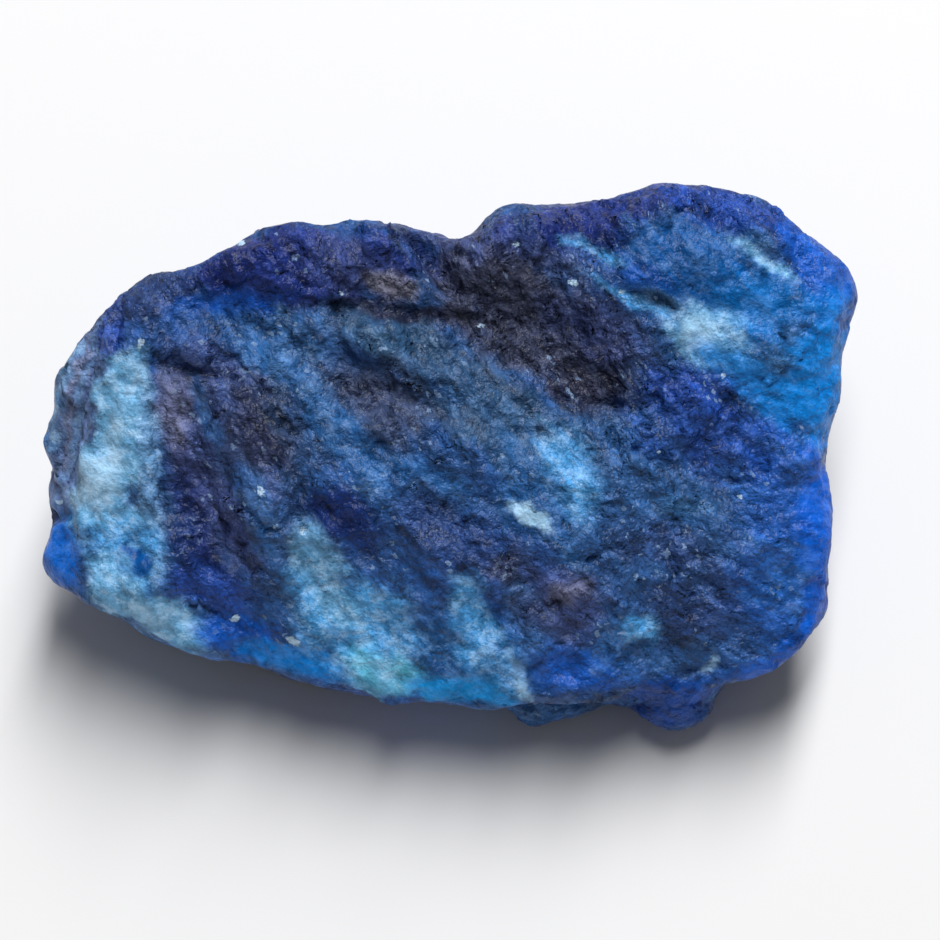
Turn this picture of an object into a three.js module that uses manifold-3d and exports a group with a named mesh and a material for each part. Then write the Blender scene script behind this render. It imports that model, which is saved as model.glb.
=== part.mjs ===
// A rough piece of hauyne: one cloudy blue stone, wedge shaped, with a broad lumpy face that leans
// towards the front, an uneven rim round that face, and broken faces under it down to a flat base.
//
// Millimetres. The stone is shaped face up, with u to the right, v up the broad face and w out of
// the face, and w = 0 at the rim. It is then leaned back on to its base, so that in the finished
// part X is u, Y points away from the front and Z is up, with the origin under its middle.

import * as THREE from "three";
import { ImprovedNoise } from "three/addons/math/ImprovedNoise.js";
import { mergeVertices } from "three/addons/utils/BufferGeometryUtils.js";
import Module from "manifold-3d";

const wasm = await Module();
wasm.setup();

const { degToRad, radToDeg, euclideanModulo, lerp } = THREE.MathUtils;

// Driving dimensions. The rest is drawn for a stone about this long, and at the end the whole stone
// is scaled to be exactly this long.
const stoneLength = 28; // left end to right end
const faceLean = 25; // degrees between the broad face and the table
const baseDrop = 7.0; // from the middle of the rim straight down to the base
const rimHeight = 0.9; // the broad face above the rim, beside the rim
const crown = 1.5; // and how much higher its middle is
const crownHalf = { u: 14, v: 9 }; // half sizes of the oval that the crown covers

// The rim of the broad face, square on, anticlockwise from the right-hand end.
const rimOutline = [
  [12.9, -0.4], [13.2, 0.9], [13.4, 2.2], [13.6, 3.6], [13.8, 4.7], [14.1, 5.3],
  [13.9, 6.1], [13.5, 6.9], [12.8, 7.7], [11.9, 8.3], [10.6, 9.0], [9.7, 9.3],
  [8.6, 9.5], [7.4, 9.4], [6.3, 9.1], [5.0, 8.8], [3.6, 8.8], [2.4, 8.7],
  [1.7, 8.4], [0.6, 7.9], [-0.5, 7.8], [-1.4, 8.1], [-3.0, 8.3], [-4.7, 8.3],
  [-6.3, 7.9], [-7.4, 7.4], [-8.1, 6.9], [-8.6, 6.6], [-9.8, 6.3], [-11.0, 5.8],
  [-11.8, 5.2], [-12.6, 4.0], [-13.2, 2.4], [-13.7, 0.6], [-13.9, -0.9], [-13.6, -2.1],
  [-13.8, -2.9], [-13.9, -3.6], [-13.6, -4.3], [-12.9, -4.8], [-11.4, -5.5], [-9.9, -6.4],
  [-8.4, -6.8], [-7.0, -7.3], [-5.7, -7.5], [-4.7, -8.0], [-3.0, -8.3], [-1.0, -8.5],
  [1.5, -8.6], [3.9, -8.6], [6.0, -8.5], [8.0, -8.5], [9.5, -8.1], [10.8, -7.5],
  [12.2, -6.7], [12.8, -5.8], [13.2, -4.6], [13.3, -3.4], [13.1, -1.6],
];

// How widely the face rolls over its rim, at angles in degrees round it, and how far the rim is
// moved out to make up for what the rolling and the broken faces take away.
const rollOver = [
  { at: 0, width: 2.4, growth: 0.8 },
  { at: 15, width: 2.4, growth: 0.5 },
  { at: 32, width: 2.2, growth: 1.4 },
  { at: 45, width: 2.2, growth: 1.2 },
  { at: 56, width: 2.2, growth: -1.0 },
  { at: 72, width: 2.0, growth: 0.0 },
  { at: 82, width: 1.6, growth: -1.2 },
  { at: 92, width: 1.6, growth: -0.2 },
  { at: 110, width: 1.6, growth: -0.2 },
  { at: 122, width: 1.6, growth: 0.0 },
  { at: 127, width: 1.6, growth: -0.3 },
  { at: 142, width: 1.4, growth: -0.4 },
  { at: 155, width: 1.2, growth: 0.9 },
  { at: 169, width: 1.2, growth: 0.0 },
  { at: 183, width: 1.0, growth: 1.6 },
  { at: 191, width: 1.0, growth: -0.2 },
  { at: 196, width: 0.8, growth: 0.0 },
  { at: 202, width: 0.8, growth: 0.4 },
  { at: 210, width: 1.0, growth: -0.1 },
  { at: 225, width: 1.0, growth: 0.1 },
  { at: 242, width: 1.0, growth: 0.2 },
  { at: 270, width: 1.2, growth: 0.8 },
  { at: 285, width: 1.4, growth: 0.5 },
  { at: 320, width: 1.8, growth: 1.9 },
  { at: 340, width: 2.2, growth: 1.4 },
  { at: 352, width: 2.4, growth: 0.1 },
];

// Relief of the broad face: middle, reach along and across, turn in degrees, and rise. A crisp of
// 1 is a soft swell, and a higher one is a ledge with a flat top and steep sides.
const relief = {
  belly: { mid: [1.0, -3.4], reach: [6.0, 3.0], turn: -25, rise: 0.7, crisp: 1 },
  rearLeftLedge: { mid: [-4.4, 7.3], reach: [4.1, 2.0], turn: 3, rise: 1.1, crisp: 3 },
  rearMiddleLedge: { mid: [2.2, 7.2], reach: [2.2, 1.8], turn: -25, rise: 0.8, crisp: 2 },
  notch: { mid: [-0.4, 6.8], reach: [1.6, 0.45], turn: -65, rise: -0.8, crisp: 1 },
  rightLedge: { mid: [10.6, 7.2], reach: [7.5, 3.9], turn: -35, rise: 0.9, crisp: 3 },
  rightLedgeCrest: { mid: [8.4, 6.4], reach: [4.5, 0.7], turn: -20, rise: 0.35, crisp: 1 },
  rightLedgeDip: { mid: [9.6, 5.2], reach: [2.2, 0.8], turn: -25, rise: -0.4, crisp: 1 },
  scoop: { mid: [4.0, 3.1], reach: [3.4, 1.6], turn: -38, rise: -0.9, crisp: 1.5 },
  upperBand: { mid: [-2.2, 3.5], reach: [4.6, 0.7], turn: -24, rise: 0.45, crisp: 1 },
  lowerBand: { mid: [-0.2, 0.4], reach: [5.2, 0.8], turn: -22, rise: 0.4, crisp: 1 },
  middleHollow: { mid: [-2.2, 2.1], reach: [2.4, 0.8], turn: -25, rise: -0.4, crisp: 1 },
  leftHollow: { mid: [-8.1, -1.0], reach: [1.3, 2.6], turn: 12, rise: -0.55, crisp: 1.5 },
  leftCrack: { mid: [-8.4, 2.8], reach: [1.6, 0.35], turn: 0, rise: -0.5, crisp: 1 },
  leftShoulder: { mid: [-6.2, -2.4], reach: [1.0, 3.4], turn: 18, rise: 0.35, crisp: 1 },
  frontNick: { mid: [-6.9, -6.4], reach: [0.8, 1.5], turn: 20, rise: -0.7, crisp: 1 },
  toeGroove: { mid: [-13.0, -2.2], reach: [1.2, 0.4], turn: 10, rise: -0.6, crisp: 1 },
  frontPit: { mid: [-10.4, -3.2], reach: [0.7, 0.6], turn: 0, rise: -0.5, crisp: 1 },
  whiteKnob: { mid: [2.9, -2.1], reach: [0.7, 0.5], turn: 0, rise: 0.3, crisp: 1 },
  footCrease: { mid: [8.1, -7.1], reach: [1.9, 0.4], turn: -8, rise: -0.7, crisp: 1 },
  rightHollow: { mid: [9.4, -0.6], reach: [2.6, 1.6], turn: 10, rise: -0.45, crisp: 1 },
};

// The left end, where the face falls away in two facets: a point each one passes through, and how
// steeply it falls to the left.
const leftFacets = {
  paleFacet: { through: [-9.9, 2.1], fall: 27 },
  endFacet: { through: [-12.6, 0.9], fall: 58 },
};
const facetCrease = 0.5; // width of the rounding where a facet meets the face

// Broken faces under the rim: which way each one faces once the stone stands, how far it is cut in
// past the rim, and how wide the rounded edge beside it is.
const brokenFaces = {
  front: { facing: [0.1, -0.72, -0.69], inset: 0.4, edge: 0.8 },
  frontLeft: { facing: [-0.5, -0.5, -0.71], inset: -0.5, edge: 0.8 },
  frontRight: { facing: [0.62, -0.68, -0.4], inset: -0.3, edge: 1.2 },
  leftEnd: { facing: [-0.92, 0.2, -0.34], inset: -0.2, edge: 1.0 },
  rightEnd: { facing: [0.96, 0.08, -0.27], inset: -0.2, edge: 1.6 },
  rearRight: { facing: [0.35, 0.9, -0.25], inset: 0.4, edge: 1.2 },
  rear: { facing: [-0.15, 0.97, -0.2], inset: 0.4, edge: 1.4 },
  rearLow: { facing: [0.15, 0.8, -0.58], inset: -2.6, edge: 1.0 },
  rearLeft: { facing: [-0.6, 0.76, -0.25], inset: 0.5, edge: 1.2 },
};

// Knobs that grew out at the rim: middle, half sizes, and how softly they join the body.
const knobs = {
  toe: { mid: [-12.2, -3.7, -0.9], half: [1.7, 1.4, 1.5], join: 0.25 },
  lip: { mid: [3.8, -6.2, -2.0], half: [2.8, 3.2, 1.0], join: 0.3 },
  lipEnd: { mid: [3.1, -7.0, -2.2], half: [1.5, 2.5, 1.1], join: 0.4 },
  foot: { mid: [8.0, -5.9, -2.2], half: [2.4, 4.0, 3.0], join: 0.5 },
};

// Unevenness of every broken surface: size of the bumps, and how high they stand. Creased bumps
// are round on top with sharp valleys between them.
const unevenness = [
  { size: 5.0, height: 0.4, creased: false },
  { size: 2.6, height: 0.34, creased: true },
  { size: 1.6, height: 0.12, creased: true },
];

// Pits, scattered over the whole stone.
const pitCount = 26;
const pitSeed = 11;
const pitRadius = { least: 0.5, most: 1.1 };
const pitDepth = 0.4; // as a share of its radius

// The stone's surface is found along rays that spread out from an egg inside it.
const kernelMid = new THREE.Vector3(0, 0, -3);
const kernelHalf = new THREE.Vector3(8.5, 4, 2.5);
const raysUp = 0.4; // leans the rays upwards, so that more of them reach the broad face
const rayDetail = 20; // rows of triangles along each side of the ball the rays are drawn on
const longestRay = 20;
const rayStep = 0.4;
const halvings = 12; // of a ray's last step, to find the surface inside it

const fullTurn = 360; // degrees
const curvePointsPerDegree = 20;
const mergeDistance = 1e-4;
const noise = new ImprovedNoise();
const noiseShift = 37.3; // keeps the noise's own grid of zeros away from the stone's middle

// The larger of two values, with the corner between them rounded over a width.
function roundedMax(a, b, width) {
  const overlap = Math.max(width - Math.abs(a - b), 0);
  return Math.max(a, b) + (overlap * overlap) / (4 * width);
}

function roundedMin(a, b, width) {
  return -roundedMax(-a, -b, width);
}

// The direction of a point from the middle, in degrees anticlockwise from the right.
function degreesRound(x, y) {
  return euclideanModulo(radToDeg(Math.atan2(y, x)), fullTurn);
}

// The rim as a function: its distance from the middle at an angle in degrees.
function makeRim() {
  const curve = new THREE.CatmullRomCurve3(
    rimOutline.map(([u, v]) => new THREE.Vector3(u, v, 0)),
    true,
  );
  const radii = new Array(fullTurn).fill(0);
  for (const { x, y } of curve.getPoints(fullTurn * curvePointsPerDegree)) {
    const degree = Math.floor(degreesRound(x, y));
    radii[degree] = Math.max(radii[degree], Math.hypot(x, y));
  }
  return (angle) => {
    const place = euclideanModulo(angle - 0.5, fullTurn);
    const low = Math.floor(place);
    return lerp(radii[low], radii[(low + 1) % fullTurn], place - low);
  };
}

const rim = makeRim();
const leanBack = new THREE.Quaternion().setFromAxisAngle(
  new THREE.Vector3(1, 0, 0),
  degToRad(faceLean),
);
const leanForward = leanBack.clone().invert();

// Width and growth of the roll-over at an angle in degrees, shared out between two entries.
function rollOverAt(angle) {
  const last = rollOver.length - 1;
  const index = rollOver.findLastIndex((entry) => entry.at <= angle);
  const before = rollOver[index];
  const after = index === last ? { ...rollOver[0], at: fullTurn } : rollOver[index + 1];
  const share = (angle - before.at) / (after.at - before.at);
  return {
    width: lerp(before.width, after.width, share),
    growth: lerp(before.growth, after.growth, share),
  };
}

// Height of the broad face over the rim's plane.
function faceHeight(u, v) {
  let height = rimHeight + crown * (1 - (u / crownHalf.u) ** 2 - (v / crownHalf.v) ** 2);
  for (const { mid, reach, turn, rise, crisp } of Object.values(relief)) {
    const cos = Math.cos(degToRad(turn));
    const sin = Math.sin(degToRad(turn));
    const along = ((u - mid[0]) * cos + (v - mid[1]) * sin) / reach[0];
    const across = ((v - mid[1]) * cos - (u - mid[0]) * sin) / reach[1];
    height += rise * Math.exp(-((along * along + across * across) ** crisp));
  }
  return height;
}

// Each broken face as a plane that touches the leaned rim and is then moved in by its inset.
function brokenPlanes() {
  return Object.values(brokenFaces).map(({ facing, inset, edge }) => {
    const normal = new THREE.Vector3(...facing).normalize().applyQuaternion(leanForward);
    let reach = 0;
    for (let angle = 0; angle < fullTurn; angle++) {
      const turned = degToRad(angle);
      const across = normal.x * Math.cos(turned) + normal.y * Math.sin(turned);
      reach = Math.max(reach, rim(angle) * across);
    }
    return { normal, distance: reach - inset, edge };
  });
}

// Each left facet as a plane.
function leftPlanes() {
  return Object.values(leftFacets).map(({ through, fall }) => {
    const normal = new THREE.Vector3(-Math.sin(degToRad(fall)), 0, Math.cos(degToRad(fall)));
    const distance = normal.x * through[0] + normal.z * through[1];
    return { normal, distance, edge: facetCrease };
  });
}

const planes = [...brokenPlanes(), ...leftPlanes()];

// How far a point is outside an egg, roughly.
function outsideEgg(point, mid, half) {
  const [x, y, z] = ["x", "y", "z"].map((axis, i) => (point[axis] - mid[i]) / half[i]);
  return (Math.hypot(x, y, z) - 1) * Math.min(...half);
}

// How far a point is outside the stone, roughly, in millimetres; negative inside it.
function outsideStone(point) {
  const angle = degreesRound(point.x, point.y);
  const { width, growth } = rollOverAt(angle);
  const pastRim = Math.hypot(point.x, point.y) - rim(angle) - growth;
  const overFace = point.z - faceHeight(point.x, point.y);
  let outside = roundedMax(pastRim, overFace, width);
  for (const { normal, distance, edge } of planes) {
    outside = roundedMax(outside, normal.dot(point) - distance, edge);
  }
  for (const { mid, half, join } of Object.values(knobs)) {
    outside = roundedMin(outside, outsideEgg(point, mid, half), join);
  }
  return outside;
}

// A ball of even triangles with shared corners, for shaping.
function evenBall(detail) {
  const ball = new THREE.IcosahedronGeometry(1, detail);
  ball.deleteAttribute("normal");
  ball.deleteAttribute("uv");
  return mergeVertices(ball, mergeDistance);
}

// Moves each corner of a geometry to where shape() sends it.
function reshape(geometry, shape) {
  const position = geometry.getAttribute("position");
  const corner = new THREE.Vector3();
  for (let i = 0; i < position.count; i++) {
    shape(corner.fromBufferAttribute(position, i), i);
    position.setXYZ(i, corner.x, corner.y, corner.z);
  }
  return geometry;
}

// The stone before it is roughened: each corner of a ball goes out from the kernel until it leaves
// the stone.
function smoothGeometry() {
  const start = new THREE.Vector3();
  const point = new THREE.Vector3();
  return reshape(evenBall(rayDetail), (corner) => {
    corner.z += raysUp;
    corner.normalize();
    start.copy(corner).multiply(kernelHalf).add(kernelMid);
    const isInside = (far) => outsideStone(point.copy(start).addScaledVector(corner, far)) < 0;
    let near = 0;
    while (near < longestRay && isInside(near + rayStep)) {
      near += rayStep;
    }
    let far = near + rayStep;
    for (let i = 0; i < halvings; i++) {
      const middle = (near + far) / 2;
      if (isInside(middle)) {
        near = middle;
      } else {
        far = middle;
      }
    }
    corner.multiplyScalar(near).add(start);
  });
}

// How far the unevenness lifts the surface at a point.
function bumpAt(point) {
  let lift = 0;
  for (const { size, height, creased } of unevenness) {
    const { x, y, z } = point.clone().divideScalar(size).addScalar(noiseShift);
    const value = noise.noise(x, y, z);
    lift += height * (creased ? Math.abs(value) * 2 - 0.5 : value);
  }
  return lift;
}

// Numbers from 0 to 1 that look random and are the same every time.
function makeRandom(seed) {
  const multiplier = 16807;
  const modulus = 2 ** 31 - 1;
  let state = seed;
  return () => {
    state = (state * multiplier) % modulus;
    return state / modulus;
  };
}

// Pits set on corners of a geometry, chosen at random.
function choosePits(geometry) {
  const random = makeRandom(pitSeed);
  const position = geometry.getAttribute("position");
  return Array.from({ length: pitCount }, () => ({
    mid: new THREE.Vector3().fromBufferAttribute(position, Math.floor(random() * position.count)),
    radius: lerp(pitRadius.least, pitRadius.most, random()),
  }));
}

// Raises the bumps and sinks the pits, square to the surface.
function roughen(geometry, pits) {
  geometry.computeVertexNormals();
  const normals = geometry.getAttribute("normal");
  geometry.deleteAttribute("normal");
  const normal = new THREE.Vector3();
  return reshape(geometry, (corner, i) => {
    let lift = bumpAt(corner);
    for (const { mid, radius } of pits) {
      const away = corner.distanceTo(mid) / radius;
      lift -= pitDepth * radius * Math.exp(-away * away);
    }
    corner.addScaledVector(normal.fromBufferAttribute(normals, i), lift);
  });
}

function toSolid(geometry) {
  return new wasm.Manifold(
    new wasm.Mesh({
      numProp: 3,
      vertProperties: new Float32Array(geometry.getAttribute("position").array),
      triVerts: new Uint32Array(geometry.index.array),
    }),
  );
}

function toGeometry(solid) {
  const mesh = solid.getMesh();
  const corners = new Float32Array(mesh.numVert * 3);
  for (let i = 0; i < mesh.numVert; i++) {
    const start = i * mesh.numProp;
    corners.set(mesh.vertProperties.subarray(start, start + 3), i * 3);
  }
  const geometry = new THREE.BufferGeometry();
  geometry.setAttribute("position", new THREE.BufferAttribute(corners, 3));
  geometry.setIndex(new THREE.BufferAttribute(new Uint32Array(mesh.triVerts), 1));
  geometry.computeVertexNormals();
  return geometry;
}

// Everything under the base.
function underBase() {
  const size = 4 * stoneLength;
  const block = new THREE.BoxGeometry(size, size, size);
  block.deleteAttribute("normal");
  block.deleteAttribute("uv");
  block.translate(0, 0, -baseDrop - size / 2);
  return toSolid(mergeVertices(block, mergeDistance));
}

function stoneSolid() {
  const smooth = smoothGeometry();
  const rough = roughen(smooth, choosePits(smooth));
  return toSolid(rough.applyQuaternion(leanBack)).subtract(underBase());
}

const stone = new THREE.Mesh(
  toGeometry(stoneSolid()),
  new THREE.MeshStandardMaterial({ color: 0x3e5e8b, roughness: 0.55, metalness: 0 }),
);
stone.name = "hauyne_stone";

// Stands the stone on its base, with the origin under the middle of its box, at its full length.
stone.geometry.computeBoundingBox();
const box = stone.geometry.boundingBox;
const fullScale = stoneLength / (box.max.x - box.min.x);
stone.geometry
  .translate(-(box.min.x + box.max.x) / 2, -(box.min.y + box.max.y) / 2, -box.min.z)
  .scale(fullScale, fullScale, fullScale);

const specimen = new THREE.Group();
specimen.add(stone);

export default specimen;
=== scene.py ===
import math

import bmesh
import bpy
import numpy as np
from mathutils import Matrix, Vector, noise


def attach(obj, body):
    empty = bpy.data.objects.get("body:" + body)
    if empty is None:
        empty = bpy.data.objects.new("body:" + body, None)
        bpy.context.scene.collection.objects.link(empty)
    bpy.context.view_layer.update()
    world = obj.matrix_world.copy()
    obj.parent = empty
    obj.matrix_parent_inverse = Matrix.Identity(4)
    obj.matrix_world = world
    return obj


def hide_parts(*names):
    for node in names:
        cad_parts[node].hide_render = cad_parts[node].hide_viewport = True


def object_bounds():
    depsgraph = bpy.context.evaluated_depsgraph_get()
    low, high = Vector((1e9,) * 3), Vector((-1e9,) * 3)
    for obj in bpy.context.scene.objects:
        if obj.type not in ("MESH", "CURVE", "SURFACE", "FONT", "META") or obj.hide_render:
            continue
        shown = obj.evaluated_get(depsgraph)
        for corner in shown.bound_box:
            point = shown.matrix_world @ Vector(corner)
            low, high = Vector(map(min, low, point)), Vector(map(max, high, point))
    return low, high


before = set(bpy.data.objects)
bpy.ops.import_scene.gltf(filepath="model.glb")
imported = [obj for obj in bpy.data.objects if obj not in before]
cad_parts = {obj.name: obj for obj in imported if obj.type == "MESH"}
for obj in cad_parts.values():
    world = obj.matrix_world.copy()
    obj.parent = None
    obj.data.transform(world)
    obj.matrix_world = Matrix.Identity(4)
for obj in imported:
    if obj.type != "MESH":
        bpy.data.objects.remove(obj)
cadLow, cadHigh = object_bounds()
print("frame loaded")

mm = 0.001  # sizes below are in millimetres unless they say otherwise
faceLean = math.radians(25)  # between the broad face and the table

# the grain falls steeply at the left end and flattens to the right: slope at the middle of the
# face, and how much it changes in a millimetre
grainSlope = (-1.23, 0.09)

# the broad face's own axes: u to the right, v up the face, w out of it
faceMiddle = Vector((0.69, -0.31, 5.89))
faceAcross = Vector((1, 0, 0))
faceUp = Vector((0, math.cos(faceLean), math.sin(faceLean)))
faceOut = Vector((0, -math.sin(faceLean), math.cos(faceLean)))

studio = {
    "cameraDistance": 230,
    "fieldWidth": 32.3,
    "sensor": 36,
    "farthest": 10000,
    "floorSize": 1600,
    "floorColour": (0.85, 0.85, 0.855, 1),
    "floorRoughness": 0.9,
    "floorSpecular": 0.1,
    "keyAway": 450,
    "keyRise": 63,  # degrees above the table, from behind the stone
    "keyTurn": 14,  # degrees round to the right
    "keyWidth": 110,
    "keyHeight": 600,
    "keyPower": 2.7,
    "fill": 0.14,
}


def makeCamera():
    lens = bpy.data.cameras.new("camera")
    lens.sensor_width = studio["sensor"]
    lens.lens = studio["sensor"] * studio["cameraDistance"] / studio["fieldWidth"]
    lens.clip_end = studio["farthest"] * mm
    camera = bpy.data.objects.new("camera", lens)
    camera.location = (faceMiddle + faceOut * studio["cameraDistance"]) * mm
    camera.rotation_euler = (faceLean, 0, 0)
    bpy.context.scene.collection.objects.link(camera)
    bpy.context.scene.camera = camera


def makeFloor():
    shape = bmesh.new()
    bmesh.ops.create_grid(shape, x_segments=1, y_segments=1, size=studio["floorSize"] * mm / 2)
    floorMesh = bpy.data.meshes.new("floor")
    shape.to_mesh(floorMesh)
    shape.free()
    floor = bpy.data.objects.new("floor", floorMesh)
    bpy.context.scene.collection.objects.link(floor)
    paper = bpy.data.materials.new("white_paper")
    paper.use_nodes = True
    surface = paper.node_tree.nodes["Principled BSDF"]
    surface.inputs["Base Color"].default_value = studio["floorColour"]
    surface.inputs["Roughness"].default_value = studio["floorRoughness"]
    surface.inputs["Specular IOR Level"].default_value = studio["floorSpecular"]
    floorMesh.materials.append(paper)


def makeLight():
    lamp = bpy.data.lights.new("softbox", "AREA")
    lamp.shape = "ELLIPSE"
    lamp.size = studio["keyWidth"] * mm
    lamp.size_y = studio["keyHeight"] * mm
    lamp.energy = studio["keyPower"]
    softbox = bpy.data.objects.new("softbox", lamp)
    rise, turn = math.radians(studio["keyRise"]), math.radians(studio["keyTurn"])
    towards = Vector((
        math.cos(rise) * math.sin(turn),
        math.cos(rise) * math.cos(turn),
        math.sin(rise),
    ))
    softbox.location = (faceMiddle + towards * studio["keyAway"]) * mm
    softbox.rotation_euler = towards.to_track_quat("Z", "Y").to_euler()
    bpy.context.scene.collection.objects.link(softbox)

    world = bpy.data.worlds.new("studio")
    world.use_nodes = True
    sky = world.node_tree.nodes["Background"]
    sky.inputs["Color"].default_value = (1, 1, 1, 1)
    sky.inputs["Strength"].default_value = studio["fill"]
    bpy.context.scene.world = world
    bpy.context.scene.view_settings.view_transform = "Standard"


# colours as a screen shows them, how grainy each one looks, and how milky: mostly the stone's own
# colours; the ones marked below carry painted light and shade
palette = {
    "ink": ((11, 32, 100), 0.8, 0),
    "soot": ((42, 43, 62), 1.0, 0),
    "coal": ((46, 68, 124), 0.9, 0),
    "umber": ((64, 68, 92), 1.0, 0),
    "taupe": ((136, 136, 160), 0.9, 0),
    "plum": ((64, 78, 130), 0.9, 0),
    "dusk": ((46, 67, 119), 0.9, 0),
    "heather": ((36, 75, 166), 0.8, 0),
    "indigo": ((32, 50, 124), 0.8, 0),
    "violet": ((18, 40, 146), 0.6, 0),
    "greyViolet": ((106, 134, 186), 0.6, 0.1),
    "navy": ((5, 65, 152), 0.6, 0),
    "royal": ((1, 91, 202), 0.5, 0.05),
    "denim": ((36, 96, 160), 0.6, 0.2),
    "steel": ((48, 84, 122), 0.7, 0.1),
    "slate": ((46, 90, 146), 0.8, 0),
    # partly painted light: the vivid glow of light through the thin right rim
    "cobalt": ((0, 96, 214), 0.2, 0.1),
    "azure": ((0, 138, 234), 0.3, 0.1),
    "lagoon": ((2, 86, 160), 0.4, 0.15),
    "teal": ((1, 98, 198), 0.3, 0.1),
    # partly painted light: the glow of the thin front edge, with light through it
    "cyan": ((0, 156, 240), 0.3, 0.1),
    "deepTeal": ((0, 76, 146), 0.3, 0),
    "sea": ((110, 220, 254), 0.4, 0.5),
    "sky": ((80, 168, 236), 0.5, 0.8),
    "haze": ((102, 154, 206), 0.5, 0.8),
    "ice": ((118, 186, 234), 0.35, 1),
    "frost": ((172, 220, 255), 0.2, 1),
    # painted shadow: the black of the shaded slit under the lip
    "black": ((6, 10, 18), 0.2, 0),
}
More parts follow.
